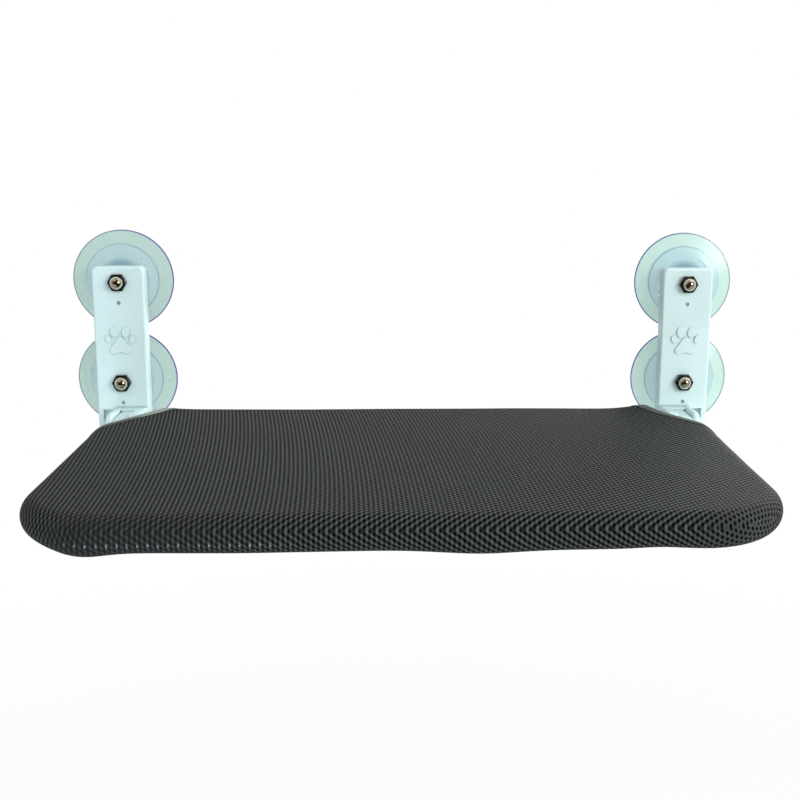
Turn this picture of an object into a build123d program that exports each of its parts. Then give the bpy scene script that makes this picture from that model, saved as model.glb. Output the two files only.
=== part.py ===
from build123d import *
import os
from math import sqrt

# Window mounted cat perch, in millimetres. The pane of glass is the plane y = 0, the bed
# stands out towards -Y, +Z is up, and x = 0 is half way between the two brackets.
# The origin is on the glass, in the middle of the pattern of four suction cups.
# Every right hand piece is modelled first, and its left hand twin is its mirror image.

# Overall layout
bracket_pitch = 450.0
bed_reach = 293.0
bed_rear_gap = 28.1
pivot_above_foot = 16.3
hinge_inset = 5.0

# Suction cup, heights measured from the glass
cup_diameter = 79.0
cup_gap = 1.0
cup_lip_height = 0.9
cup_seal_width = 4.5
cup_hollow_depth = 2.4
cup_skirt_height = 3.1
cup_step_radius = 28.5
cup_step_width = 0.7
cup_step_height = 4.7
cup_crown_radius = 15.0
cup_crown_height = 7.2
cup_crown_bulge = 0.3
cup_bead_radius = 0.55
cup_hub_radius = 9.6
cup_hub_root = 0.9

# Stud moulded into each cup
stud_radius = 4.0
stud_head_radius = 7.6
stud_head_depth = 6.0
stud_head_thickness = 2.0
stud_beyond_nut = 0.6
stud_dome_height = 2.2

# Lock nut and the ring of nylon in its collar
nut_across_flats = 13.0
nut_hex_height = 3.6
nut_chamfer_height = 0.9
nut_chamfer_width = 0.6
nut_collar_radius = 5.5
nut_collar_height = 1.4
nut_collar_wall = 0.7
nut_collar_round = 0.6
nylon_ring_height = 1.2
thread_clearance = 0.05

# Bracket
bracket_width = 40.0
bracket_front = 20.0
bracket_depth = 11.5
bracket_web = 3.0
bracket_wall = 2.4
bracket_top_margin = 12.3
bracket_bottom_margin = 45.0
bracket_corner_radius = 4.5
bracket_foot_radius = 2.6
bracket_edge_radius = 1.6
rib_thickness = 2.0
rib_pitch = 14.0
rib_count = 3
rib_back_step = 1.0
stud_hole_clearance = 0.25
peg_hole_radius = 1.6
peg_hole_drop = 16.2
flange_thickness = 4.0
pocket_drop = 22.0
pocket_depth = 6.0
pocket_gap = 1.2

# Raised paw print on the bracket
paw_width = 25.5
paw_drop = 6.0
paw_relief = 0.9
paw_edge_radius = 0.3

# Hinge fork on the bracket, and the tongue that turns in it
pivot_reach = 46.5
fork_radius = 10.5
fork_root_top = 8.6
fork_root_bottom = 13.0
fork_edge_radius = 2.2
outer_ear_width = 5.5
inner_ear_width = 9.0
tongue_width = 10.2
tongue_height = 15.0
tongue_edge_radius = 2.4
ear_clearance = 0.35
stop_clearance = 0.3
stop_depth = 9.0
heel_clearance = 1.4
heel_bottom_radius = 4.0
hinge_pin_radius = 3.0
hinge_pin_clearance = 0.15
hinge_pin_head_radius = 5.2
hinge_pin_head_height = 2.2
hinge_pin_head_round = 1.8
hinge_nut_across_flats = 10.0
hinge_nut_height = 4.6
hinge_nut_clearance = 0.1

# Frame tube and the spigots of the arm that hold it
tube_radius = 8.0
tube_wall = 1.2
bend_radius = 47.5
spigot_clearance = 0.15
spigot_length = 26.0
arm_beyond_cover = 3.0
arm_collar_length = 8.0
arm_round_length = 23.0
arm_web_height = 13.0
arm_web_clearance = 1.4

# Screws that pin the tubes on their spigots
screw_radius = 1.5
screw_length = 9.0
screw_head_radius = 2.8
screw_head_sink = 0.4
screw_inset = 13.0

# Mesh cover, a sleeve with an open corner at each hinge
fabric_thickness = 3.0
fabric_clearance = 0.3
rear_corner_radius = 16.0
edge_flat = 0.04
corner_cut_reach = 98.0
corner_cut_inset = 46.0
binding_width = 6.0

# One overrun serves every cut
cut_overrun = 1.0

# Places worked out from the sizes above
side_x = bracket_pitch / 2
cup_z = (cup_diameter + cup_gap) / 2
cup_radius = cup_diameter / 2
web_back = bracket_front - bracket_web
bracket_back = bracket_front - bracket_depth
bracket_top = cup_z + bracket_top_margin
bracket_bottom = -cup_z - bracket_bottom_margin
bracket_outer = side_x + bracket_width / 2
bracket_inner = side_x - bracket_width / 2
hex_end = bracket_front + nut_hex_height
nut_end = hex_end + nut_collar_height
sleeve_radius = tube_radius + fabric_clearance + fabric_thickness
tube_x = side_x - hinge_inset
bed_width = (tube_x + sleeve_radius) * 2
arm_reach = corner_cut_reach + arm_beyond_cover
front_tube_y = sleeve_radius - bed_reach
rear_tube_y = -bed_rear_gap - sleeve_radius
pivot_y = -pivot_reach
pivot_z = bracket_bottom + pivot_above_foot
ear_inner_x = tube_x - tongue_width / 2 - ear_clearance
ear_outer_x = tube_x + tongue_width / 2 + ear_clearance
spigot_radius = tube_radius - tube_wall - spigot_clearance
rear_tube_end = bed_width / 2 - corner_cut_inset - spigot_clearance - arm_collar_length


def block(x0, x1, y0, y1, z0, z1):
    """A box between two corners."""
    size = Box(abs(x1 - x0), abs(y1 - y0), abs(z1 - z0))
    return Pos((x0 + x1) / 2, (y0 + y1) / 2, (z0 + z1) / 2) * size


def rod_x(radius, x0, x1, y, z):
    """A cylinder along x."""
    return Pos((x0 + x1) / 2, y, z) * Rot(0, 90, 0) * Cylinder(radius, abs(x1 - x0))


def rod_y(radius, x, y0, y1, z):
    """A cylinder along y."""
    return Pos(x, (y0 + y1) / 2, z) * Rot(90, 0, 0) * Cylinder(radius, abs(y1 - y0))


def rod_z(radius, x, y, z0, z1):
    """A cylinder along z."""
    return Pos(x, y, (z0 + z1) / 2) * Cylinder(radius, abs(z1 - z0))


def side_view(points, x0, x1):
    """A closed outline of (y, z) points, carried along x from x0 to x1."""
    return Pos(x0, 0, 0) * extrude(Plane.YZ * make_face(Polyline(*points, close=True)), x1 - x0)


def top_view(face, z0, z1):
    """A flat face seen from above, carried along z from z0 to z1."""
    return Pos(0, 0, z0) * extrude(face, z1 - z0)


def mirrored(piece):
    """The left hand twin of a right hand piece."""
    return mirror(piece, about=Plane.YZ)


def domed_end(radius, base, height):
    """A polished dome on the y axis, on the side away from the glass."""
    sphere_radius = (radius**2 + height**2) / (2 * height)
    ball = Pos(0, sphere_radius - base - height, 0) * Sphere(sphere_radius)
    return ball & rod_y(radius, 0, -base, -base - height, 0)


def cup_stud():
    """A steel stud whose wide head lies inside the soft hub of the cup."""
    head_end = stud_head_depth + stud_head_thickness
    shank_end = nut_end + stud_beyond_nut
    head = rod_y(stud_head_radius, 0, -stud_head_depth, -head_end, 0)
    shank = rod_y(stud_radius, 0, -stud_head_depth, -shank_end, 0)
    return head + shank + domed_end(stud_radius, shank_end, stud_dome_height)


def suction_cup():
    """A soft cup: thin skirt, thicker crown with a step and a bead round it, and a hub."""
    seal_radius = cup_radius - cup_seal_width
    hollow_sphere = (seal_radius**2 + cup_hollow_depth**2) / (2 * cup_hollow_depth)
    half_way = seal_radius / 2
    half_depth = cup_hollow_depth - hollow_sphere + sqrt(hollow_sphere**2 - half_way**2)
    crown_middle = (cup_crown_radius + cup_step_radius) / 2
    crown_middle_height = (cup_crown_height + cup_step_height) / 2 + cup_crown_bulge
    hub_path = Polyline(
        (0, -cup_hollow_depth),
        (0, -web_back),
        (cup_hub_radius, -web_back),
        (cup_hub_radius, -cup_crown_height - cup_hub_root),
        (cup_crown_radius, -cup_crown_height),
    )
    crown = ThreePointArc(
        hub_path @ 1,
        (crown_middle, -crown_middle_height),
        (cup_step_radius, -cup_step_height),
    )
    skirt_path = Polyline(
        crown @ 1,
        (cup_step_radius + cup_step_width, -cup_skirt_height),
        (cup_radius, -cup_lip_height),
        (cup_radius, 0),
        (seal_radius, 0),
    )
    hollow = ThreePointArc(skirt_path @ 1, (half_way, -half_depth), hub_path @ 0)
    outline = make_face(Curve() + [hub_path, crown, skirt_path, hollow])
    bead = Pos(crown_middle, -crown_middle_height) * Circle(cup_bead_radius)
    return revolve(outline + bead, Axis.Y) - cup_stud()


def hexagon(across_flats, plane, height):
    """A hexagonal bar with two of its corners level with the middle."""
    corner_radius = across_flats / sqrt(3)
    return extrude(plane * RegularPolygon(corner_radius, 6), height)


def lock_nut():
    """A chamfered hexagon with a rolled collar, bored out for the stud and its ring."""
    corner_radius = nut_across_flats / sqrt(3)
    body = hexagon(nut_across_flats, Plane.XZ.offset(bracket_front), nut_hex_height)
    rounding = rod_y(corner_radius, 0, -bracket_front, -hex_end, 0)
    rounding = chamfer(rounding.edges(), nut_chamfer_width, nut_chamfer_height)
    collar = rod_y(nut_collar_radius, 0, -hex_end, -nut_end, 0)
    collar = fillet(collar.edges().sort_by(Axis.Y)[0], nut_collar_round)
    body = (body & rounding) + collar
    bore = rod_y(stud_radius + thread_clearance, 0, cut_overrun - bracket_front, -nut_end - cut_overrun, 0)
    seat_radius = nut_collar_radius - nut_collar_wall
    ring_seat = rod_y(seat_radius, 0, nylon_ring_height - nut_end, -nut_end - cut_overrun, 0)
    return body - bore - ring_seat


def nylon_ring():
    """The ring that grips the thread, level with the end of the collar."""
    ring_radius = nut_collar_radius - nut_collar_wall - thread_clearance
    ring = rod_y(ring_radius, 0, nylon_ring_height - nut_end, -nut_end, 0)
    return ring - rod_y(stud_radius + thread_clearance, 0, -bracket_front, -nut_end - cut_overrun, 0)


def paw_print():
    """Four toes and a notched pad, standing a little out of the bracket face."""
    # Each toe: place across and up, half width and half height, as shares of the width
    toe_shares = [
        (0.172, 0.262, 0.120, 0.163),
        (0.366, 0.045, 0.092, 0.130),
    ]
    toe_tilts = [-6, -20]
    pad_top_share = -0.010
    pad_corner_shares = (0.215, 0.315)
    pad_notch_share = 0.070
    pad_radius_share = 0.115
    toes = Sketch()
    for (across, up, half_width, half_height), tilt in zip(toe_shares, toe_tilts):
        for side in (1, -1):
            toe = Ellipse(half_width * paw_width, half_height * paw_width)
            toes += Pos(side * across * paw_width, up * paw_width) * Rot(0, 0, side * tilt) * toe
    corner_x, corner_drop = (share * paw_width for share in pad_corner_shares)
    outline = Polyline(
        (0, pad_top_share * paw_width),
        (corner_x, -corner_drop),
        (0, pad_notch_share * paw_width - corner_drop),
        (-corner_x, -corner_drop),
        close=True,
    )
    pad = offset(make_face(outline), pad_radius_share * paw_width)
    raised = extrude(Plane.XZ.offset(web_back) * (toes + pad), bracket_web + paw_relief)
    return fillet(raised.edges().group_by(Axis.Y)[0], paw_edge_radius)


def fork_ear(x0, x1):
    """One ear of the hinge fork, with a round nose about the pivot."""
    root_y = -web_back
    ear = side_view(
        [
            (root_y, pivot_z + fork_root_top),
            (pivot_y, pivot_z + fork_radius),
            (pivot_y, pivot_z - fork_radius),
            (root_y, pivot_z - fork_root_bottom),
        ],
        x0,
        x1,
    )
    ear += rod_x(fork_radius, x0, x1, pivot_y, pivot_z)
    faces = ear.faces().sort_by(Axis.X)
    return fillet(faces[0].edges() + faces[-1].edges(), fork_edge_radius)


def bracket():
    """The right hand bracket: an open backed box with the hinge fork at its foot."""
    centre_z = (bracket_top + bracket_bottom) / 2
    height = bracket_top - bracket_bottom
    outline = Rectangle(bracket_width, height)
    corners = outline.vertices().group_by(Axis.Y)
    outline = fillet(corners[-1], bracket_corner_radius)
    outline = fillet(outline.vertices().group_by(Axis.Y)[0], bracket_foot_radius)
    inside = offset(outline, -bracket_wall)
    place = Pos(side_x, 0, centre_z)
    shell = extrude(Plane.XZ.offset(bracket_back) * outline, bracket_depth)
    shell = fillet(shell.faces().sort_by(Axis.Y)[0].edges(), bracket_edge_radius)
    room_depth = bracket_depth - bracket_web + cut_overrun
    room = extrude(Plane.XZ.offset(bracket_back - cut_overrun) * inside, room_depth)
    shell = place * (shell - room)

    # Ribs across the back, between the hubs of the two cups
    for number in range(rib_count):
        rib_z = (number - (rib_count - 1) / 2) * rib_pitch
        shell += block(
            bracket_inner + bracket_wall,
            bracket_outer - bracket_wall,
            -bracket_back - rib_back_step,
            -web_back,
            rib_z - rib_thickness / 2,
            rib_z + rib_thickness / 2,
        )

    # Foot: the face is set back beside the fork, and only the outer flange runs on
    pocket_x = ear_outer_x + outer_ear_width + pocket_gap
    pocket = block(
        pocket_x,
        bracket_outer - flange_thickness,
        pocket_depth - bracket_front,
        -bracket_front - cut_overrun,
        -cup_z - pocket_drop,
        bracket_bottom - cut_overrun,
    )
    backing = block(
        ear_outer_x,
        bracket_outer - bracket_wall,
        -bracket_back,
        -bracket_front + pocket_depth,
        -cup_z - pocket_drop,
        bracket_bottom + bracket_wall,
    )
    shell = (shell + backing) - pocket

    # Fork ears and the stop that the tongue's heel comes up against
    shell += fork_ear(ear_inner_x - inner_ear_width, ear_inner_x)
    shell += fork_ear(ear_outer_x, ear_outer_x + outer_ear_width)
    shell += block(
        ear_inner_x - fork_edge_radius,
        ear_outer_x + fork_edge_radius,
        -web_back,
        -bracket_front - stop_depth,
        pivot_z + tongue_height / 2 + stop_clearance,
        pivot_z + fork_root_top,
    )
    shell += Pos(side_x, 0, 0) * (Pos(0, 0, -paw_drop) * paw_print())

    # Holes for the studs, the small peg holes under them, and the hinge pin
    for stud_z in (cup_z, -cup_z):
        hole_radius = stud_radius + stud_hole_clearance
        shell -= rod_y(hole_radius, side_x, -bracket_back, -bracket_front - cut_overrun, stud_z)
        peg_z = stud_z - peg_hole_drop
        shell -= rod_y(peg_hole_radius, side_x, -bracket_back, -bracket_front - cut_overrun, peg_z)
    pin_hole = hinge_pin_radius + hinge_pin_clearance
    shell -= rod_x(pin_hole, bracket_inner, ear_outer_x + outer_ear_width + cut_overrun, pivot_y, pivot_z)
    nut_x = ear_inner_x - inner_ear_width
    return shell - hinge_nut_blank(nut_x - cut_overrun, nut_x + hinge_nut_height, hinge_nut_clearance)


def hinge_nut_blank(x0, x1, margin):
    """The hexagon of the hinge nut, or of the pocket that it lies in."""
    bar = hexagon(hinge_nut_across_flats + margin * 2, Plane.YZ.offset(x0), x1 - x0)
    return Pos(0, pivot_y, pivot_z) * bar


def hinge_nut():
    nut_x = ear_inner_x - inner_ear_width
    nut = hinge_nut_blank(nut_x, nut_x + hinge_nut_height, 0)
    return nut - rod_x(hinge_pin_radius + thread_clearance, nut_x, nut_x + hinge_nut_height, pivot_y, pivot_z)


def hinge_pin():
    """A shouldered bolt with a low round head against the outer ear."""
    tip_x = ear_inner_x - inner_ear_width
    head_x = ear_outer_x + outer_ear_width
    shank = rod_x(hinge_pin_radius, tip_x, head_x, pivot_y, pivot_z)
    head = rod_x(hinge_pin_head_radius, head_x, head_x + hinge_pin_head_height, pivot_y, pivot_z)
    head = fillet(head.edges().sort_by(Axis.X)[-1], hinge_pin_head_round)
    return shank + head


def hinge_arm():
    """The moulded corner of the frame: tongue, web, and a spigot for each tube."""
    low = pivot_z - tongue_height / 2
    high = pivot_z + tongue_height / 2
    inner_x = tube_x - tongue_width / 2
    outer_x = tube_x + tongue_width / 2
    heel_y = -bracket_front - heel_clearance
    tongue = block(inner_x, outer_x, heel_y, arm_round_length - arm_reach, low, high)
    heel_edge = tongue.edges().filter_by(Axis.X).group_by(Axis.Z)[0].sort_by(Axis.Y)[-1]
    tongue = fillet(heel_edge, heel_bottom_radius)
    top_edges = tongue.faces().sort_by(Axis.Z)[-1].edges()
    tongue = fillet(top_edges.filter_by(Axis.Y), tongue_edge_radius)

    # The web leaves the tongue in front of the fork and runs back to the rear tube
    web_rear_y = pivot_y - fork_radius - arm_web_clearance
    ear_x = ear_inner_x - inner_ear_width
    collar_x = rear_tube_end + arm_collar_length
    web_outline = Polyline(
        (inner_x + tongue_edge_radius, web_rear_y),
        (ear_x - arm_web_clearance, web_rear_y),
        (collar_x, rear_tube_y + tube_radius / 2),
        (rear_tube_end + spigot_clearance, rear_tube_y + tube_radius / 2),
        (rear_tube_end + spigot_clearance, rear_tube_y - tube_radius),
        (collar_x, rear_tube_y - tube_radius),
        (inner_x - arm_web_clearance, -arm_reach + arm_collar_length),
        (inner_x + tongue_edge_radius, -arm_reach + arm_collar_length),
        close=True,
    )
    web = top_view(make_face(web_outline), pivot_z - arm_web_height / 2, pivot_z + arm_web_height / 2)
    side_collar = rod_y(tube_radius, tube_x, arm_round_length - arm_reach, -arm_reach, pivot_z)
    rear_collar = rod_x(tube_radius, rear_tube_end, collar_x, rear_tube_y, pivot_z)
    side_spigot = rod_y(spigot_radius, tube_x, -arm_reach, -arm_reach - spigot_length, pivot_z)
    rear_spigot = rod_x(spigot_radius, rear_tube_end - spigot_length, rear_tube_end, rear_tube_y, pivot_z)
    arm = tongue + web + side_collar + rear_collar + side_spigot + rear_spigot
    arm -= rod_x(hinge_pin_radius + hinge_pin_clearance, inner_x, outer_x, pivot_y, pivot_z)
    return arm - side_screw(0) - rear_screw(0)


def frame_screw(margin):
    """A screw from below, its flat head sunk in the wall of the tube."""
    head_z = screw_head_sink - tube_radius
    head = rod_z(screw_head_radius + margin, 0, 0, head_z, -spigot_radius)
    return head + rod_z(screw_radius + margin, 0, 0, head_z, screw_length - tube_radius)


def side_screw(margin):
    return Pos(tube_x, -arm_reach - screw_inset, pivot_z) * frame_screw(margin)


def rear_screw(margin):
    return Pos(rear_tube_end - screw_inset, rear_tube_y, pivot_z) * frame_screw(margin)


def both_sides(piece):
    return [piece, mirrored(piece)]


def front_tube():
    """One bent tube round the sides and the front of the bed."""
    path = FilletPolyline(
        (tube_x, -arm_reach, pivot_z),
        (tube_x, front_tube_y, pivot_z),
        (-tube_x, front_tube_y, pivot_z),
        (-tube_x, -arm_reach, pivot_z),
        radius=bend_radius,
    )
    section = Plane(origin=path @ 0, z_dir=path % 0)
    solid_tube = sweep(section * Circle(tube_radius), path=path)
    bore = sweep(section * Circle(tube_radius - tube_wall), path=path)
    tube = solid_tube - bore
    for hole in both_sides(side_screw(thread_clearance)):
        tube -= hole
    return tube


def rear_tube():
    """The straight tube along the back of the bed."""
    tube = rod_x(tube_radius, -rear_tube_end, rear_tube_end, rear_tube_y, pivot_z)
    tube -= rod_x(tube_radius - tube_wall, -rear_tube_end, rear_tube_end, rear_tube_y, pivot_z)
    for hole in both_sides(rear_screw(thread_clearance)):
        tube -= hole
    return tube


def bed_plan():
    """The outline of the bed from above, before its rear corners are cut off."""
    length = bed_reach - bed_rear_gap
    plan = Pos(0, -bed_rear_gap - length / 2) * Rectangle(bed_width, length)
    front_radius = bend_radius + sleeve_radius
    plan = fillet(plan.vertices().group_by(Axis.Y)[0], front_radius)
    return fillet(plan.vertices().group_by(Axis.Y)[-1], rear_corner_radius)


def bed_skin(inset):
    """The bed as a slab with fully rounded edges, drawn in all round by an inset."""
    half_height = sleeve_radius - inset
    plan = offset(bed_plan(), -inset) if inset else bed_plan()
    slab = top_view(plan, pivot_z - half_height, pivot_z + half_height)
    rims = slab.edges().filter_by(GeomType.LINE).filter_by(Axis.Z, reverse=True)
    rims += slab.edges().filter_by(GeomType.CIRCLE)
    return fillet(rims, half_height - edge_flat)


def corner_half_space(offset_out):
    """A block that holds all that lies behind the cut across the right rear corner."""
    side_point = Vector(bed_width / 2, -corner_cut_reach)
    rear_point = Vector(bed_width / 2 - corner_cut_inset, -bed_rear_gap)
    along = (rear_point - side_point).normalized()
    outwards = Vector(along.Y, -along.X)
    start = side_point - along * bed_width + outwards * offset_out
    end = rear_point + along * bed_width + outwards * offset_out
    far = outwards * bed_width
    outline = Polyline(start, end, end + far, start + far, close=True)
    return top_view(make_face(outline), pivot_z - bed_width, pivot_z + bed_width)


sleeve = bed_skin(0) - bed_skin(fabric_thickness)
beyond_binding = corner_half_space(0)
beyond_cover = corner_half_space(-binding_width)
mesh_cover = sleeve - beyond_cover - mirrored(beyond_cover)
right_binding = (sleeve & beyond_cover) - beyond_binding

pieces = {}

cup_places = {
    "upper_right": (side_x, cup_z),
    "upper_left": (-side_x, cup_z),
    "lower_right": (side_x, -cup_z),
    "lower_left": (-side_x, -cup_z),
}
for name, (x, z) in cup_places.items():
    pieces["suction_cup_" + name] = Pos(x, 0, z) * suction_cup()
    pieces["cup_stud_" + name] = Pos(x, 0, z) * cup_stud()
pieces["lock_nuts"] = [Pos(x, 0, z) * lock_nut() for x, z in cup_places.values()]
pieces["nylon_rings"] = [Pos(x, 0, z) * nylon_ring() for x, z in cup_places.values()]

for name, make in {
    "bracket": bracket,
    "hinge_pin": hinge_pin,
    "hinge_nut": hinge_nut,
    "hinge_arm": hinge_arm,
}.items():
    right = make()
    pieces[name + "_right"] = right
    pieces[name + "_left"] = mirrored(right)

pieces["front_tube"] = front_tube()
pieces["rear_tube"] = rear_tube()
pieces["frame_screws"] = both_sides(side_screw(0)) + both_sides(rear_screw(0))
pieces["mesh_cover"] = mesh_cover
pieces["corner_binding_right"] = right_binding
pieces["corner_binding_left"] = mirrored(right_binding)

os.makedirs("parts", exist_ok=True)
for name, piece in pieces.items():
    solids = piece if isinstance(piece, list) else [piece]
    body = Compound([solid for group in solids for solid in group.solids()])
    export_step(body, "parts/" + name + ".step")
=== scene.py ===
from math import cos, exp, pi, radians, sin

import bmesh
import bpy
from mathutils import Matrix, Vector, noise


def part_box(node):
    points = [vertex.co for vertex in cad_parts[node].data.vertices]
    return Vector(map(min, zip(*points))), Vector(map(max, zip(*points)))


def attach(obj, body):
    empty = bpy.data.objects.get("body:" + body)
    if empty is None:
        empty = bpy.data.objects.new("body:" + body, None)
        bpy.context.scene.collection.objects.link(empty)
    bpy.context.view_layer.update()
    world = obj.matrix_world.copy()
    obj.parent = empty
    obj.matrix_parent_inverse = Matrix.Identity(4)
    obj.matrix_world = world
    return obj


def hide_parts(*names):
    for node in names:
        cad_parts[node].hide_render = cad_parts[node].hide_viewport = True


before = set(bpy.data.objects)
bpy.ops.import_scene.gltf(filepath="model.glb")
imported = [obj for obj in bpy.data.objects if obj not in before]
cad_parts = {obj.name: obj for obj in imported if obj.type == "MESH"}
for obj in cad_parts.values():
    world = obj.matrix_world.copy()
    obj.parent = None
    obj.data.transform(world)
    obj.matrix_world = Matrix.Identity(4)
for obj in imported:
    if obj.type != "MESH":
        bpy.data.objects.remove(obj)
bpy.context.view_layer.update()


# Camera: a plain 49 mm view of the bed from in front and a little above, a shade left of the
# middle. The small shift keeps the bed where the photograph has it in the frame.
MM = 0.001
camera_place = Vector((-3.59, -875.87, 150.50)) * MM
camera_turn = radians(2.86)
camera_dip = radians(10.68)
camera_roll = radians(-0.55)
sensor_width = 36.0
photo_pixels = 800
focal_pixels = 1090.15
shift_right_pixels = -55.5
shift_up_pixels = -53.05

level_reach = cos(camera_dip)
forward = Vector((sin(camera_turn) * level_reach, cos(camera_turn) * level_reach, -sin(camera_dip)))
level = Vector((cos(camera_turn), -sin(camera_turn), 0))
down = forward.cross(level)
across = level * cos(camera_roll) + down * sin(camera_roll)
up = level * sin(camera_roll) - down * cos(camera_roll)

bpy.ops.object.camera_add()
camera = bpy.context.object
camera.name = "camera"
camera.matrix_world = Matrix((
    (across.x, up.x, -forward.x, camera_place.x),
    (across.y, up.y, -forward.y, camera_place.y),
    (across.z, up.z, -forward.z, camera_place.z),
    (0, 0, 0, 1),
))
camera.data.sensor_width = sensor_width
camera.data.lens = sensor_width * (focal_pixels / photo_pixels)
camera.data.shift_x = shift_right_pixels / photo_pixels
camera.data.shift_y = shift_up_pixels / photo_pixels
bpy.context.scene.camera = camera
bpy.context.scene.view_settings.view_transform = "Standard"


# Studio: a pale floor well under the perch, a white surround, and soft lamps with the
# strongest on the right, where the photograph's light comes from. A dark card in front shows
# only in reflections, which gives the bright metal its contrast.
plain_white = (1, 1, 1, 1)
surround_light = (0.93, 0.97, 1.0, 1)
surround_strength = 0.50
floor_drop = 1.2
floor_size = 12.0
floor_white = (0.86, 0.87, 0.87, 1)
floor_fade_start = 0.8
floor_fade_end = 2.6
floor_near_glow_share = 0.86
card_place = (0, -2.6, 0.4)
card_width = 12.0
card_height = 8.0
card_middle_share = 0.5
card_fade_shares = (0.40, 0.62)
card_colours = ((0.015, 0.013, 0.012, 1), (0.16, 0.115, 0.07, 1))


def feed(tree, value, socket):
    """Sets a socket to a plain value, or links another node's output to it."""
    if isinstance(value, bpy.types.NodeSocket):
        tree.links.new(value, socket)
    else:
        socket.default_value = value


def new_node(tree, kind, sockets=None, **settings):
    """Adds a node with its settings, and feeds its sockets, which go by name or number."""
    node = tree.nodes.new(kind)
    for setting, value in settings.items():
        setattr(node, setting, value)
    for socket, value in (sockets or {}).items():
        feed(tree, value, node.inputs[socket])
    return node


def calculate(tree, operation, *values, clamp=False):
    """One Math node; each value is a number or another node's output."""
    sockets = dict(enumerate(values))
    return new_node(tree, "ShaderNodeMath", sockets, operation=operation, use_clamp=clamp).outputs[0]


def ease(tree, value, start, end, least=0.0):
    """Goes smoothly from the least value at the start to 1 at the end, whichever is larger."""
    sockets = {"Value": value, "From Min": start, "From Max": end, "To Min": least}
    return new_node(tree, "ShaderNodeMapRange", sockets, interpolation_type="SMOOTHSTEP").outputs["Result"]


def object_place(tree):
    """Where a point of the surface lies on its object."""
    return new_node(tree, "ShaderNodeTexCoord").outputs["Object"]


def split(tree, place):
    """The three coordinates of a place."""
    return new_node(tree, "ShaderNodeSeparateXYZ", {0: place}).outputs


def seen_directly(tree):
    """A value of 1 for what the camera, a reflection or a clear piece shows."""
    path = new_node(tree, "ShaderNodeLightPath").outputs
    seen = calculate(tree, "ADD", path["Is Camera Ray"], path["Is Glossy Ray"], clamp=True)
    return calculate(tree, "ADD", seen, path["Is Transmission Ray"], clamp=True)


def empty_tree(owner):
    """Gives a world or a material an empty node tree."""
    owner.use_nodes = True
    owner.node_tree.nodes.clear()
    return owner.node_tree


def end_in_mix(tree, end_kind, share, first, second):
    """Ends a tree in a mix of two shaders, which is all the second where the share is 1."""
    mix = new_node(tree, "ShaderNodeMixShader", {0: share, 1: first.outputs[0], 2: second.outputs[0]})
    new_node(tree, end_kind, {"Surface": mix.outputs[0]})


world = bpy.data.worlds.new("studio")
tree = empty_tree(world)
ambient = new_node(tree, "ShaderNodeBackground", {"Color": surround_light, "Strength": surround_strength})
white = new_node(tree, "ShaderNodeBackground", {"Color": plain_white})
end_in_mix(tree, "ShaderNodeOutputWorld", seen_directly(tree), ambient, white)
bpy.context.scene.world = world

bpy.ops.mesh.primitive_plane_add(size=floor_size, location=(0, 0, -floor_drop))
floor = bpy.context.object
floor.name = "studio_floor"
paint = bpy.data.materials.new("floor_white")
tree = empty_tree(paint)
from_perch = new_node(tree, "ShaderNodeVectorMath", {0: object_place(tree)}, operation="LENGTH")
glow_share = ease(
    tree, from_perch.outputs["Value"], floor_fade_start, floor_fade_end, least=floor_near_glow_share
)
glow_share = calculate(tree, "MULTIPLY", seen_directly(tree), glow_share)
lit = new_node(tree, "ShaderNodeBsdfDiffuse", {"Color": floor_white})
glow = new_node(tree, "ShaderNodeEmission")
end_in_mix(tree, "ShaderNodeOutputMaterial", glow_share, lit, glow)
floor.data.materials.append(paint)

bpy.ops.mesh.primitive_plane_add(size=1, location=card_place, rotation=(pi / 2, 0, 0))
card = bpy.context.object
card.name = "dark_card"
bpy.ops.transform.resize(value=(card_width, 1, card_height))
card.visible_camera = False
card.visible_diffuse = False
card.visible_transmission = False
card.visible_shadow = False
brown = bpy.data.materials.new("card_brown")
tree = empty_tree(brown)
upwards = split(tree, object_place(tree))["Y"]
shade = new_node(tree, "ShaderNodeValToRGB", {0: calculate(tree, "ADD", upwards, card_middle_share)})
for stop, share, colour in zip(shade.color_ramp.elements, card_fade_shares, card_colours):
    stop.position = share
    stop.color = colour
glow = new_node(tree, "ShaderNodeEmission", {"Color": shade.outputs[0]})
new_node(tree, "ShaderNodeOutputMaterial", {"Surface": glow.outputs[0]})
card.data.materials.append(brown)

# Each lamp: place and size in metres, power in watts, colour, and whether polished metal shows it
lamps_aim = Vector((0, -0.16, -0.06))
for name, place, size, power, colour, in_metal in (
    ("key_lamp", (2.10, -1.90, 0.85), 1.5, 62, (1.0, 0.985, 0.96), True),
    ("side_lamp", (-0.95, -0.80, 1.15), 0.5, 2, (1.0, 0.98, 0.95), True),
    ("front_lamp", (0.3, -2.0, 0.4), 1.6, 7, (0.95, 0.98, 1.0), False),
    ("top_lamp", (0.7, 0.2, 1.0), 0.9, 5, (1.0, 1.0, 1.0), True),
    ("back_lamp", (1.0, 1.1, 0.5), 0.9, 12, (1.0, 1.0, 1.0), True),
    ("low_lamp", (-0.35, -1.5, -0.75), 0.35, 5, (0.70, 0.84, 1.0), False),
):
    bpy.ops.object.light_add(type="AREA", location=place)
    lamp = bpy.context.object
    lamp.name = name
    lamp.data.size = size
    lamp.data.energy = power
    lamp.data.color = colour
    lamp.visible_glossy = in_metal
    lamp.visible_transmission = False
    lamp.rotation_euler = (lamps_aim - Vector(place)).to_track_quat("-Z", "Y").to_euler()


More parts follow.
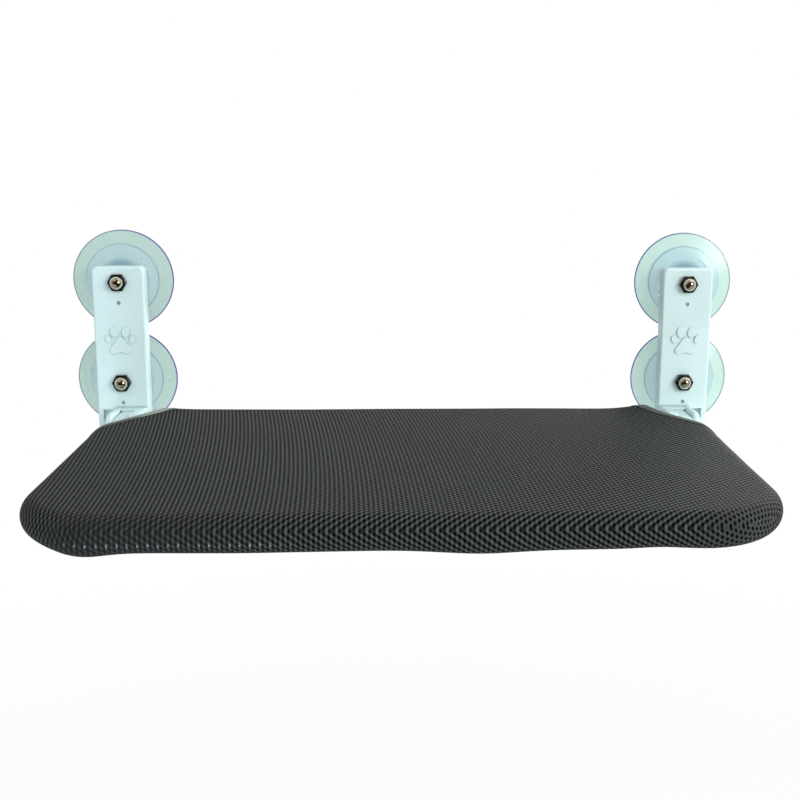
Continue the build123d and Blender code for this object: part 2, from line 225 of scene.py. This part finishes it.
# Brackets and hinge arms: pale ice blue plastic, each moulded in one piece with a soft sheen and
# a fine grain. The cups' studs hold the brackets, and the arms turn on pins in the brackets' forks.
# Edges are slightly paler where hands have rubbed them, and narrow gaps and recesses have a
# painted shade.
plastic_colour = (0.62, 0.785, 0.79, 1)
plastic_edge_colour = (0.72, 0.87, 0.87, 1)
plastic_dust_colour = (0.56, 0.71, 0.70, 1)
plastic_painted_crevice_shade = (0.16, 0.27, 0.29, 1)
plastic_clean_shares = (0.15, 1.55)
plastic_roughness = (0.28, 0.44)
plastic_grain_scales = (1400.0, 22.0)
plastic_wear = 1.6
plastic_relief = 0.04 * MM
crevice_shade_reach = 3.0 * MM
crevice_shade_closed_share = 0.20
crevice_shade_open_share = 0.90
crevice_shade_samples = 8


def new_material(name, **values):
    """A material, its tree and its one shader's sockets, with plain values by socket name."""
    material = bpy.data.materials.new(name)
    material.use_nodes = True
    shader = material.node_tree.nodes["Principled BSDF"].inputs
    for socket, value in values.items():
        shader[socket.replace("_", " ")].default_value = value
    return material, material.node_tree, shader


def new_group(name, inputs, outputs):
    """An empty shader node group with named sockets, what comes in, and where it goes out."""
    group = bpy.data.node_groups.new(name, "ShaderNodeTree")
    for in_out, sockets in (("INPUT", inputs), ("OUTPUT", outputs)):
        for socket, kind in sockets.items():
            group.interface.new_socket(name=socket, in_out=in_out, socket_type="NodeSocket" + kind)
    return group, new_node(group, "NodeGroupInput").outputs, new_node(group, "NodeGroupOutput").inputs


def place_group(tree, group, **values):
    """Puts a node group in a material with its own values, and gives its outputs."""
    sockets = {socket.replace("_", " "): value for socket, value in values.items()}
    return new_node(tree, "ShaderNodeGroup", sockets, node_tree=group).outputs


def between(tree, low, high, share):
    """A colour between two others; each is a fixed colour or another node's output."""
    return new_node(tree, "ShaderNodeMix", {"Factor": share, 6: low, 7: high}, data_type="RGBA").outputs[2]


def spread(tree, share, low, high, clamp=False):
    """A number from low to high, as the share goes from 0 to 1."""
    return calculate(tree, "MULTIPLY_ADD", share, high - low, low, clamp=clamp)


def raise_surface(tree, shader, height, relief):
    """Raises a surface by a height from 0 to 1, times the relief in metres."""
    raised = new_node(tree, "ShaderNodeBump", {"Height": height, "Distance": relief})
    feed(tree, raised.outputs[0], shader["Normal"])


# The grain group: fine speckle and broad cloudy patches, which most of the finishes share
grain_group, given, result = new_group(
    "moulded_grain",
    {"Place": "Vector", "Fine Scale": "Float", "Cloud Scale": "Float"},
    {"Fine": "Float", "Cloud": "Float"},
)
for grain, detail in (("Fine", 2.0), ("Cloud", 3.0)):
    sockets = {"Vector": given["Place"], "Scale": given[grain + " Scale"], "Detail": detail}
    feed(grain_group, new_node(grain_group, "ShaderNodeTexNoise", sockets).outputs[0], result[grain])


def add_grain(tree, fine_scale, cloud_scale):
    """Places the grain in a material, and gives its fine and its cloudy output."""
    grain = place_group(
        tree, grain_group, Place=object_place(tree), Fine_Scale=fine_scale, Cloud_Scale=cloud_scale
    )
    return grain["Fine"], grain["Cloud"]


# The edge group: 1 along edges and steps, broken up by the grain, where a finish wears
edge_radius = 0.6 * MM
edge_samples = 4
edge_gain = 6.0
edge_group, given, result = new_group(
    "worn_edges", {"Grain": "Float", "Amount": "Float"}, {"Wear": "Float"}
)
rounded = new_node(edge_group, "ShaderNodeBevel", {"Radius": edge_radius}, samples=edge_samples)
surface = new_node(edge_group, "ShaderNodeNewGeometry")
sockets = {0: rounded.outputs[0], 1: surface.outputs["Normal"]}
turn = new_node(edge_group, "ShaderNodeVectorMath", sockets, operation="DOT_PRODUCT")
ridge = calculate(edge_group, "SUBTRACT", 1.0, turn.outputs["Value"])
ridge = calculate(edge_group, "MULTIPLY", ridge, edge_gain, clamp=True)
broken = calculate(edge_group, "MULTIPLY", ridge, given["Grain"])
feed(edge_group, calculate(edge_group, "MULTIPLY", broken, given["Amount"], clamp=True), result["Wear"])

plastic, tree, shader = new_material(
    "ice_blue_plastic",
    Specular_IOR_Level=0.45,
    Subsurface_Weight=0.06,
    Subsurface_Scale=4.0 * MM,
    Subsurface_Radius=(0.7, 0.9, 1.0),
)
fine, cloud = add_grain(tree, *plastic_grain_scales)
wear = place_group(tree, edge_group, Grain=fine, Amount=plastic_wear)["Wear"]
clean = spread(tree, cloud, *plastic_clean_shares, clamp=True)
clouded = between(tree, plastic_dust_colour, plastic_colour, clean)
edged = between(tree, clouded, plastic_edge_colour, wear)
# Painted shade: the colour darkens towards the crevice shade where the plastic's own gaps and recesses close
# in.
openness = new_node(
    tree, "ShaderNodeAmbientOcclusion", {"Distance": crevice_shade_reach}, samples=crevice_shade_samples, only_local=True
)
out_of_crevice_shade = ease(tree, openness.outputs["AO"], crevice_shade_closed_share, crevice_shade_open_share)
feed(tree, between(tree, plastic_painted_crevice_shade, edged, out_of_crevice_shade), shader["Base Color"])
feed(tree, spread(tree, cloud, *plastic_roughness), shader["Roughness"])
raise_surface(tree, shader, fine, plastic_relief)


def finish_nodes(material, *names):
    """Gives CAD nodes their material."""
    for name in names:
        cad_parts[name].data.materials[0] = material


finish_nodes(plastic, "bracket_left", "bracket_right", "hinge_arm_left", "hinge_arm_right")


# Suction cups: soft clear vinyl, a faint green in the thin skirt and a cooler blue in the
# thick crown, pressed on the glass. The right pair is painted lighter, as painted light from the
# right, and a thin violet line of painted light runs along the rims, strongest on the side
# towards the middle of the perch.
skirt_colour = (0.61, 0.785, 0.74, 1)
crown_colour = (0.575, 0.76, 0.79, 1)
lit_skirt_colour = (0.715, 0.93, 0.87, 1)
lit_crown_colour = (0.61, 0.84, 0.87, 1)
hub_shade_colour = (0.30, 0.48, 0.57, 1)
rim_light_colour = (0.04, 0.04, 0.42, 1)
rim_far_light_colour = (0.22, 0.36, 0.40, 1)
crown_line_shade_colour = (0.22, 0.32, 0.45, 1)
crown_line_far_shade_colour = (0.45, 0.60, 0.63, 1)
vinyl_cloud_colour = (0.93, 0.95, 0.94, 1)
vinyl_roughness = (0.20, 0.32)
vinyl_grain_scales = (500.0, 30.0)
vinyl_relief = 0.05 * MM

cup_low, cup_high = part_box("suction_cup_upper_right")
cup_x = (cup_low.x + cup_high.x) / 2
cup_z = (cup_low.z + cup_high.z) / 2
cup_radius = (cup_high.x - cup_low.x) / 2
crown_radius = 28.5 * MM
crown_softness = 0.4 * MM
crown_line_core = 0.1 * MM
crown_line_width = 0.5 * MM
hub_radius = 13.0 * MM
hub_fade_width = 7.0 * MM
rim_line_width = 1.1 * MM
rim_line_full_share = 0.4


def multiplied(tree, colour, tint):
    """One colour times another."""
    sockets = {"Factor": 1.0, 6: colour, 7: tint}
    return new_node(tree, "ShaderNodeMix", sockets, data_type="RGBA", blend_type="MULTIPLY").outputs[2]


vinyl, tree, shader = new_material(
    "clear_green_vinyl",
    IOR=1.5,
    Specular_IOR_Level=0.3,
    Transmission_Weight=0.68,
    Coat_Weight=0.12,
    Coat_Roughness=0.07,
)
x, _, z = split(tree, object_place(tree))
sideways = calculate(tree, "SUBTRACT", calculate(tree, "ABSOLUTE", x), cup_x)
upwards = calculate(tree, "SUBTRACT", calculate(tree, "ABSOLUTE", z), cup_z)
sideways_squared = calculate(tree, "MULTIPLY", sideways, sideways)
upwards_squared = calculate(tree, "MULTIPLY", upwards, upwards)
from_axis = calculate(tree, "SQRT", calculate(tree, "ADD", sideways_squared, upwards_squared))
off_line = calculate(tree, "ABSOLUTE", calculate(tree, "SUBTRACT", from_axis, crown_radius))

# Where each zone starts: 0 inside a radius or off to one side, and 1 past it
# Painted light: the right pair of cups is painted in lighter colours than the left pair.
right_pair_lit = ease(tree, x, -cup_x / 2, cup_x / 2)
outer_side = ease(tree, sideways, -cup_radius / 2, cup_radius / 2)
past_crown = ease(tree, from_axis, crown_radius - crown_softness, crown_radius + crown_softness)
# Painted shade: the hub, behind the bracket, is painted a darker blue than the crown.
past_hub = ease(tree, from_axis, hub_radius, hub_radius + hub_fade_width)
past_line = ease(tree, off_line, crown_line_core, crown_line_width)
# Painted light: a thin violet line just inside the rim, deepest towards the middle of the perch.
rim_start = cup_radius - rim_line_width
rim_full = cup_radius - rim_line_width * rim_line_full_share
in_rim_light = ease(tree, from_axis, rim_start, rim_full)

skirt = between(tree, skirt_colour, lit_skirt_colour, right_pair_lit)
crown = between(tree, crown_colour, lit_crown_colour, right_pair_lit)
rim_light = between(tree, rim_light_colour, rim_far_light_colour, outer_side)
# Painted shade: a dark line rings the step at the crown's edge, darker towards the middle of the perch.
line = between(tree, crown_line_shade_colour, crown_line_far_shade_colour, outer_side)
colour = between(tree, crown, skirt, past_crown)
colour = between(tree, hub_shade_colour, colour, past_hub)
colour = between(tree, line, colour, past_line)
colour = between(tree, colour, rim_light, in_rim_light)
fine, cloud = add_grain(tree, *vinyl_grain_scales)
cloudy = between(tree, vinyl_cloud_colour, plain_white, cloud)
feed(tree, multiplied(tree, colour, cloudy), shader["Base Color"])
feed(tree, spread(tree, cloud, *vinyl_roughness), shader["Roughness"])
raise_surface(tree, shader, cloud, vinyl_relief)

cup_places = ("upper_left", "upper_right", "lower_left", "lower_right")
finish_nodes(vinyl, *("suction_cup_" + place for place in cup_places))


# Studs, lock nuts and nylon rings: polished studs moulded into the cups, with domed ends, and
# dark plated nuts that hold the brackets on them, bright where the plating has worn. A cream
# ring of nylon sits in the collar of each nut.
stud_colour = (0.29, 0.245, 0.175, 1)
stud_roughness = (0.02, 0.16)
stud_grain_scales = (1800.0, 260.0)
nut_colour = (0.05, 0.05, 0.044, 1)
nut_worn_colour = (0.40, 0.38, 0.33, 1)
nut_roughness = (0.12, 0.42)
nut_grain_scales = (2200.0, 320.0)
nut_wear = 1.8
nut_relief = 0.03 * MM
nylon_colours = ((0.64, 0.68, 0.56, 1), (0.82, 0.85, 0.72, 1))
nylon_grain_scales = (2600.0, 400.0)
nylon_relief = 0.04 * MM


def clouded_finish(name, colours, grain_scales, relief, **values):
    """A material that drifts between two colours in cloudy patches, with a fine relief."""
    material, tree, shader = new_material(name, **values)
    fine, cloud = add_grain(tree, *grain_scales)
    feed(tree, between(tree, *colours, cloud), shader["Base Color"])
    raise_surface(tree, shader, fine, relief)
    return material


chrome, tree, shader = new_material("polished_stud", Metallic=1.0, Base_Color=stud_colour)
fine, cloud = add_grain(tree, *stud_grain_scales)
feed(tree, spread(tree, cloud, *stud_roughness), shader["Roughness"])

plating, tree, shader = new_material("dark_plated_nut", Metallic=1.0)
fine, cloud = add_grain(tree, *nut_grain_scales)
wear = place_group(tree, edge_group, Grain=fine, Amount=nut_wear)["Wear"]
feed(tree, between(tree, nut_colour, nut_worn_colour, wear), shader["Base Color"])
feed(tree, spread(tree, cloud, *nut_roughness), shader["Roughness"])
raise_surface(tree, shader, fine, nut_relief)

nylon = clouded_finish(
    "cream_nylon",
    nylon_colours,
    nylon_grain_scales,
    nylon_relief,
    Roughness=0.45,
    Subsurface_Weight=0.2,
    Subsurface_Scale=2.0 * MM,
)

finish_nodes(chrome, *("cup_stud_" + place for place in cup_places))
finish_nodes(plating, "lock_nuts")
finish_nodes(nylon, "nylon_rings")


# Hinge pins, their nuts and the frame screws: zinc plated steel. Each pin goes through the ears
# of a bracket's fork into a nut in the inner ear, and the screws hold the tubes on the arms.
zinc_colours = ((0.42, 0.43, 0.44, 1), (0.62, 0.62, 0.60, 1))
zinc_grain_scales = (1500.0, 300.0)
zinc_relief = 0.02 * MM
zinc = clouded_finish(
    "zinc_plate", zinc_colours, zinc_grain_scales, zinc_relief, Metallic=1.0, Roughness=0.35
)
finish_nodes(zinc, "hinge_pin_left", "hinge_pin_right", "hinge_nut_left", "hinge_nut_right", "frame_screws")


# Frame tubes: steel with a black powder coat, inside the cover. The front tube is bent round
# three sides of the bed and the rear tube is straight, and both slide over the arms' spigots.
powder_colours = ((0.012, 0.012, 0.013, 1), (0.03, 0.03, 0.032, 1))
powder_grain_scales = (1100.0, 40.0)
powder_relief = 0.1 * MM
powder = clouded_finish(
    "black_powder_coat", powder_colours, powder_grain_scales, powder_relief, Roughness=0.5
)
finish_nodes(powder, "front_tube", "rear_tube")


# Mesh cover: one sleeve of charcoal spacer mesh, sewn round the frame and drawn tight over it.
# It is round along all its edges, and its two rear corners are cut off for the hinge arms.
bed_low, bed_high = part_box("mesh_cover")
roll = (bed_high.z - bed_low.z) / 2
middle_z = (bed_high.z + bed_low.z) / 2
middle_y = (bed_low.y + bed_high.y) / 2
front_radius = 47.5 * MM
rear_radius = 4.7 * MM
fabric_thickness = 3.0 * MM
fabric_offset_share = -1.0
seam_angle = radians(69)

# The slanting cut across each rear corner, and how far the tape covers the cloth there
cut_side_y = -98.0 * MM
cut_rear_inset = 46.0 * MM
cut_side = Vector((bed_high.x, cut_side_y, 0))
cut_rear = Vector((bed_high.x - cut_rear_inset, bed_high.y, 0))
side_tape_width = 3.5 * MM
rear_tape_width = 8.0 * MM
tape_overlap = 1.0 * MM

# The sleeve's rows run in from the outline to a spine in the middle, this long each way
spine = bed_high.x - (bed_high.y - bed_low.y) / 2

# How finely the sleeve is divided along its outline, over its round edge and in to the spine
outline_step = 4.6 * MM
corner_fineness = 1.6
least_corner_steps = 3
roll_steps = 20
fill_steps = 26
fill_crowding = 0.8
merge_reach = 0.02 * MM

# The ribs of the cloth are sewn in a little askew and lean more towards the rear
lean_start = -250.0 * MM
lean_slope = 0.062
lean_growth = 0.26

# How far the cloth of the front edge stands off at places across the bed: place, width, rise
front_waves = [
    (-188.0 * MM, 20.0 * MM, -3.0 * MM),
    (-90.0 * MM, 60.0 * MM, -0.5 * MM),
    (42.0 * MM, 34.0 * MM, -2.6 * MM),
    (146.0 * MM, 16.0 * MM, 1.0 * MM),
]
wave_reach = 60.0 * MM
wave_fade_width = 50.0 * MM

# The same three for the cloth that stands up where each cut meets the rear edge, left and right
right_rise_offset = 4.0 * MM
corner_rises = [
    (-cut_rear.x, 14.0 * MM, 1.0 * MM),
    (cut_rear.x + right_rise_offset, 18.0 * MM, 3.0 * MM),
]

# Small dents all over: how many to a metre, and how deep
dents = [(9.0, 0.5 * MM), (30.0, 0.12 * MM)]


def outline_points():
    """Points of the tube's centre line, seen from above, each with its outward direction."""
    half_width = bed_high.x - roll
    front = bed_low.y + roll
    rear = bed_high.y - roll
    corners = [
        (half_width - rear_radius, rear - rear_radius, rear_radius, 0),
        (-half_width + rear_radius, rear - rear_radius, rear_radius, 90),
        (-half_width + front_radius, front + front_radius, front_radius, 180),
        (half_width - front_radius, front + front_radius, front_radius, 270),
    ]
    arcs = []
    for x, y, radius, start in corners:
        steps = max(least_corner_steps, round(radius * (pi / 2) / outline_step * corner_fineness))
        arc = []
        for step in range(steps + 1):
            angle = radians(start + 90 * step / steps)
            out = Vector((cos(angle), sin(angle), 0))
            arc.append((Vector((x, y, 0)) + out * radius, out))
        arcs.append(arc)

    points = []
    for arc, following in zip(arcs, arcs[1:] + arcs[:1]):
        points.extend(arc)
        start, out = arc[-1]
        end = following[0][0]
        stops = [start, end]
        # The long runs get a point over each end of the spine, where the rows start to fan out
        if abs(out.y) > abs(out.x):
            spine_end = spine if start.x > end.x else -spine
            stops = [start, Vector((spine_end, start.y, 0)), Vector((-spine_end, start.y, 0)), end]
        for near, far in zip(stops, stops[1:]):
            steps = round((far - near).length / outline_step)
            first = 1 if near is start else 0
            for step in range(first, steps):
                points.append((near.lerp(far, step / steps), out))
    return points


def cloth_place(base, out, reach):
    """Where a point of the cloth lies on the flat sheet, whose ribs lean left towards the rear."""
    flat = base + out * reach
    behind = flat.y - lean_start
    front_seam = bed_low.y + roll - roll * seam_angle
    return (flat.x + lean_slope * behind + lean_growth * behind * behind, flat.y - front_seam)


def sleeve_mesh(name):
    """The closed skin of the bed, with a map of the cloth in metres that rolls over the edges."""
    mesh = bpy.data.meshes.new(name)
    work = bmesh.new()
    cloth_map = work.loops.layers.uv.new("cloth")
    places = {}
    rings = []
    for centre, out in outline_points():
        foot = Vector((min(max(centre.x, -spine), spine), middle_y, 0))
        fold_angle = pi / 2 - (pi / 2 - seam_angle) * max(0.0, -out.y)
        ring = []
        shares = [(step / fill_steps) ** fill_crowding for step in range(fill_steps)]
        for share in shares:
            ring.append((foot.lerp(centre, share), 0.0, 0.0))
        for step in range(roll_steps + 1):
            angle = pi * step / roll_steps
            ring.append((centre, angle, roll * min(angle, 2 * fold_angle - angle)))
        for share in reversed(shares):
            ring.append((foot.lerp(centre, share), pi, roll * (2 * fold_angle - pi) * share))

        row = []
        for base, angle, reach in ring:
            place = base + out * (roll * sin(angle))
            place.z = middle_z + roll * cos(angle)
            vertex = work.verts.new(place)
            places[vertex] = cloth_place(base, out, reach)
            row.append(vertex)
        rings.append(row)

    for row, following in zip(rings, rings[1:] + rings[:1]):
        for index in range(len(row) - 1):
            face = work.faces.new((row[index], row[index + 1], following[index + 1], following[index]))
            for loop in face.loops:
                loop[cloth_map].uv = places[loop.vert]
    bmesh.ops.remove_doubles(work, verts=work.verts, dist=merge_reach)
    bmesh.ops.recalc_face_normals(work, faces=work.faces)
    work.to_mesh(mesh)
    work.free()
    return mesh


def settle_cloth(piece):
    """Gives the taut cloth its small unevenness, most along the lower front edge."""
    for vertex in piece.data.vertices:
        place = vertex.co
        lower = max(0.0, (middle_z - place.z) / roll)
        nearness = max(0.0, min(1.0, (bed_low.y + wave_reach - place.y) / wave_fade_width))
        rise = sum(height * exp(-((place.x - x) / width) ** 2) for x, width, height in front_waves)
        place.z += rise * lower * nearness
        dent = sum(noise.noise(place * fineness) * depth for fineness, depth in dents)
        place.z += dent * (place.z - middle_z) / roll
        for x, width, height in corner_rises:
            away = Vector((place.x - x, place.y - cut_rear.y)).length
            place.z += height * exp(-(away / width) ** 2) * (1 - lower)


def outwards_of(side, rear, mirror):
    """The direction that points out of the bed, square to the line between two places."""
    along = (rear - side).normalized()
    return Vector((along.y, -along.x, 0)) * mirror


def cut_corner(piece, mirror, side_offset, rear_offset, keep_inside):
    """Cuts the piece near the slanting line across one rear corner, at an offset from each end."""
    side = Vector((cut_side.x * mirror, cut_side.y, 0))
    rear = Vector((cut_rear.x * mirror, cut_rear.y, 0))
    outwards = outwards_of(side, rear, mirror)
    side += outwards * side_offset
    rear += outwards * rear_offset
    bpy.ops.object.select_all(action="DESELECT")
    piece.select_set(True)
    bpy.context.view_layer.objects.active = piece
    bpy.ops.object.mode_set(mode="EDIT")
    bpy.ops.mesh.select_all(action="SELECT")
    bpy.ops.mesh.bisect(
        plane_co=side,
        plane_no=outwards_of(side, rear, mirror),
        clear_outer=keep_inside,
        clear_inner=not keep_inside,
    )
    bpy.ops.object.mode_set(mode="OBJECT")


def add_modifier(piece, kind, **settings):
    """Adds a modifier and applies it."""
    bpy.context.view_layer.objects.active = piece
    modifier = piece.modifiers.new(kind.lower(), kind)
    for setting, value in settings.items():
        setattr(modifier, setting, value)
    bpy.ops.object.modifier_apply(modifier=modifier.name)


def new_piece(name):
    """A piece with the closed skin of the bed, still to be cut."""
    piece = bpy.data.objects.new(name, sleeve_mesh(name))
    bpy.context.scene.collection.objects.link(piece)
    return piece


cover = new_piece("mesh_cover_cloth")
for mirror in (1, -1):
    cut_corner(cover, mirror, -side_tape_width + tape_overlap, -rear_tape_width + tape_overlap, True)
settle_cloth(cover)
add_modifier(cover, "SOLIDIFY", thickness=fabric_thickness, offset=fabric_offset_share)
cover.data.shade_smooth()

# The weave group: three sets of stripes cross on the cloth map and leave slanting holes: the
# knitted ribs, the strands that lie one way, and the fainter strands that lie the other way.
# Sidelight goes from 0, where the ribs stand out most, to 1, where the strands do: painted
# light for the light from the right picking out the yarns' relief. Gather goes to 1 where the
# cloth is drawn together and both sets of strands stand out alike. The shares are those at no
# sidelight, at full sidelight and at full gather.
column_pitch = 2.83 * MM
hole_pitch = 3.9 * MM
rib_shares = (0.82, 0.52, 0.60)
strand_shares = (0.68, 0.98, 0.49)
cross_strand_shares = (0.08, 0.08, 0.49)
strand_start_share = 0.75
yarn_narrowing = 1.6
loops_to_hole = 3
loop_height_share = 0.06
weave_group, given, result = new_group(
    "spacer_weave",
    {"Cloth": "Vector", "Pull": "Float", "Gather": "Float"},
    {"Yarn": "Float", "Height": "Float"},
)
along_row, along_column, _ = split(weave_group, given["Cloth"])
column = calculate(weave_group, "DIVIDE", along_row, column_pitch)
row = calculate(weave_group, "DIVIDE", along_column, hole_pitch)

# Each set of stripes: its shares, its turns to a column and to a hole, and where it starts
tone = 1.0
for shares, by_column, by_row, start in (
    (rib_shares, 1.0, 0.0, 0.0),
    (strand_shares, 0.5, -1.0, strand_start_share),
    (cross_strand_shares, 0.5, 1.0, strand_start_share),
):
    turns = calculate(weave_group, "MULTIPLY_ADD", column, by_column, start)
    turns = calculate(weave_group, "MULTIPLY_ADD", row, by_row, turns)
    wave = calculate(weave_group, "COSINE", calculate(weave_group, "MULTIPLY", turns, 2 * pi))
    share = spread(weave_group, given["Pull"], shares[0], shares[1])
    gather_change = calculate(weave_group, "SUBTRACT", shares[2], share)
    share = calculate(weave_group, "MULTIPLY_ADD", given["Gather"], gather_change, share)
    tone = calculate(weave_group, "MULTIPLY_ADD", wave, share, tone)
full_tone = 1 + rib_shares[0] + strand_shares[0] + cross_strand_shares[0]
yarn = calculate(weave_group, "DIVIDE", tone, full_tone, clamp=True)
yarn = calculate(weave_group, "POWER", yarn, yarn_narrowing)
loops = calculate(weave_group, "MULTIPLY", along_column, 2 * pi / (hole_pitch / loops_to_hole))
loops = calculate(weave_group, "SINE", loops)
feed(weave_group, yarn, result["Yarn"])
feed(weave_group, calculate(weave_group, "MULTIPLY_ADD", loops, loop_height_share, yarn), result["Height"])

yarn_colour = (0.160, 0.178, 0.172, 1)
yarn_dark_colour = (0.078, 0.087, 0.083, 1)
yarn_warm_colour = (0.090, 0.084, 0.076, 1)
# Painted shade: the holes between the yarns are near black, for the shade inside the cloth.
hole_shade_colour = (0.0015, 0.0020, 0.0020, 1)
mesh_roughness = (0.5, 0.8)
mesh_grain_scales = (900.0, 14.0)
mesh_relief = 0.3 * MM

# Painted light: the strands stand out more and more from the left of the bed to the right
sidelight_from = -170.0 * MM
sidelight_to = 120.0 * MM

# The cloth is shaded where it turns down at the front
fold_shade_colour = (0.77, 0.78, 0.78, 1)
fold_shade_reach = 9.0 * MM
fold_shade_full_share = 0.2

# The cloth at the left of the front roll has painted shade, which flattens its weave towards an
# even darker tone, and the cloth is gathered at the right front corner
calm_shade_from = -30.0 * MM
calm_shade_to = -190.0 * MM
calm_shade_share = 0.55
calm_shade_yarn = 0.20
front_roll_shares = (1.5, 0.5)
gather_reach = 50.0 * MM
gather_full_reach = 18.0 * MM
gather_way = Vector((0.57, -0.82, 0))
front_corner = Vector((bed_high.x - roll - front_radius, bed_low.y + roll + front_radius, middle_z))
gather_middle = front_corner + gather_way * (front_radius + roll)

# Painted highlights: pale glints in a row low on the left of the front roll,
# one to every second rib
glint_colour = (0.44, 0.52, 0.56, 1)
glint_drop_share = 0.36
glint_height = middle_z - glint_drop_share * roll
glint_reach = 1.9 * MM
glint_middle = -130.0 * MM
glint_half_length = 75.0 * MM
glint_full_share = 0.6
glint_narrowing = 7.0
glint_grain_shares = (0.36, 0.60)

mesh_cloth, tree, shader = new_material("charcoal_spacer_mesh", Specular_IOR_Level=0.03)
sheet_place = new_node(tree, "ShaderNodeUVMap", uv_map="cloth").outputs[0]
place = object_place(tree)
x, y, z = split(tree, place)
fine, cloud = add_grain(tree, *mesh_grain_scales)
sockets = {0: place, 1: gather_middle}
from_gather = new_node(tree, "ShaderNodeVectorMath", sockets, operation="DISTANCE").outputs["Value"]
# Painted light: the sidelight share rises from the left of the bed to the right.
sidelight = ease(tree, x, sidelight_from, sidelight_to)
gather = ease(tree, from_gather, gather_reach, gather_full_reach)
weave = place_group(tree, weave_group, Cloth=sheet_place, Pull=sidelight, Gather=gather)

# Painted shade: at the left of the front roll the weave is flattened towards an even, darker tone.
left_end = ease(tree, x, calm_shade_from, calm_shade_to)
on_front = ease(tree, y, *(bed_low.y + share * roll for share in front_roll_shares))
calm_shade = calculate(tree, "MULTIPLY", calculate(tree, "MULTIPLY", left_end, on_front), calm_shade_share)
calm_shade_change = calculate(tree, "SUBTRACT", calm_shade_yarn, weave["Yarn"])
yarn = calculate(tree, "MULTIPLY_ADD", calm_shade_change, calm_shade, weave["Yarn"])
dull = between(tree, yarn_warm_colour, yarn_dark_colour, cloud)
yarns = between(tree, dull, yarn_colour, fine)
knit = between(tree, hole_shade_colour, yarns, yarn)

# Painted highlights: the glints are colour, set in a row on the front roll.
glint_spots = calculate(tree, "MULTIPLY", split(tree, sheet_place)["X"], pi / column_pitch)
glint_spots = calculate(tree, "MAXIMUM", calculate(tree, "COSINE", glint_spots), 0.0)
off_row = calculate(tree, "ABSOLUTE", calculate(tree, "SUBTRACT", z, glint_height))
off_middle = calculate(tree, "ABSOLUTE", calculate(tree, "SUBTRACT", x, glint_middle))
glint = calculate(tree, "POWER", glint_spots, glint_narrowing)
for limit in (
    ease(tree, off_row, glint_reach, 0.0),
    ease(tree, off_middle, glint_half_length, glint_half_length * glint_full_share),
    on_front,
    ease(tree, fine, *glint_grain_shares),
):
    glint = calculate(tree, "MULTIPLY", glint, limit)

off_fold = ease(
    tree, y, bed_low.y + fold_shade_reach * fold_shade_full_share, bed_low.y + fold_shade_reach
)
shade = between(tree, fold_shade_colour, plain_white, off_fold)
feed(tree, multiplied(tree, between(tree, knit, glint_colour, glint), shade), shader["Base Color"])
feed(tree, spread(tree, fine, *mesh_roughness), shader["Roughness"])
raise_surface(tree, shader, weave["Height"], mesh_relief)
cover.data.materials.append(mesh_cloth)
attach(cover, "tray")
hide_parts("mesh_cover")


# Corner bindings: a woven grey green tape, folded over the raw edge of the cover at each cut
# corner and sewn down. The left one shows a pale trim line along the cut, and a paler flap that
# widens to the rear.
tape_colour = (0.095, 0.110, 0.098, 1)
tape_shade_colour = (0.060, 0.070, 0.063, 1)
left_trim_colour = (0.55, 0.62, 0.54, 1)
right_trim_colour = (0.17, 0.20, 0.175, 1)
flap_colour = (0.27, 0.33, 0.28, 1)
flap_shade_colour = (0.085, 0.105, 0.095, 1)
trim_width = 1.3 * MM
trim_softness = 0.5 * MM
flap_width = 8.5 * MM
flap_length = 34.0 * MM
tape_extra_thickness = 0.5 * MM
tape_offset_share = -0.72
tape_edge_radius = 0.9 * MM
tape_edge_steps = 3
tape_edge_angle = radians(50)
tape_rib_scale = 260.0
tape_relief = 0.2 * MM

tape, tree, shader = new_material("grey_green_tape", Roughness=0.8)
sheet_place = new_node(tree, "ShaderNodeUVMap", uv_map="cloth").outputs[0]
sockets = {"Vector": sheet_place, "Scale": tape_rib_scale}
ribs = new_node(tree, "ShaderNodeTexWave", sockets, bands_direction="DIAGONAL").outputs["Fac"]
x, y, _ = split(tree, object_place(tree))
sideways = calculate(tree, "ABSOLUTE", x)
along_cut = (cut_rear - cut_side).normalized()
edge_distance = along_cut.y * cut_side.x - along_cut.x * cut_side.y
from_edge = calculate(tree, "MULTIPLY_ADD", sideways, -along_cut.y, edge_distance)
from_edge = calculate(tree, "MULTIPLY_ADD", y, along_cut.x, from_edge)
on_left = calculate(tree, "LESS_THAN", x, 0.0)
flap = ease(tree, sideways, cut_rear.x + flap_length, cut_rear.x)
flap = calculate(tree, "MULTIPLY", flap, on_left)
flap_end = calculate(tree, "MULTIPLY_ADD", flap, flap_width, trim_width)
from_flap = calculate(tree, "SUBTRACT", from_edge, flap_end)
past_flap = ease(tree, from_flap, -trim_softness, trim_softness)
past_trim = ease(tree, from_edge, trim_width - trim_softness, trim_width + trim_softness)
woven = between(tree, tape_shade_colour, tape_colour, ribs)
flap_tone = between(tree, flap_shade_colour, flap_colour, flap)
trim = between(tree, right_trim_colour, left_trim_colour, on_left)
cloth = between(tree, flap_tone, woven, past_flap)
feed(tree, between(tree, trim, cloth, past_trim), shader["Base Color"])
raise_surface(tree, shader, ribs, tape_relief)

tape_thickness = fabric_thickness + tape_extra_thickness
for side, mirror in (("right", 1), ("left", -1)):
    name = "corner_binding_" + side
    binding = new_piece(name + "_tape")
    cut_corner(binding, mirror, 0, 0, True)
    cut_corner(binding, mirror, -side_tape_width, -rear_tape_width, False)
    settle_cloth(binding)
    add_modifier(binding, "SOLIDIFY", thickness=tape_thickness, offset=tape_offset_share)
    add_modifier(
        binding,
        "BEVEL",
        width=tape_edge_radius,
        segments=tape_edge_steps,
        limit_method="ANGLE",
        angle_limit=tape_edge_angle,
    )
    binding.data.shade_smooth()
    binding.data.materials.append(tape)
    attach(binding, "tray")
    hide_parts(name)
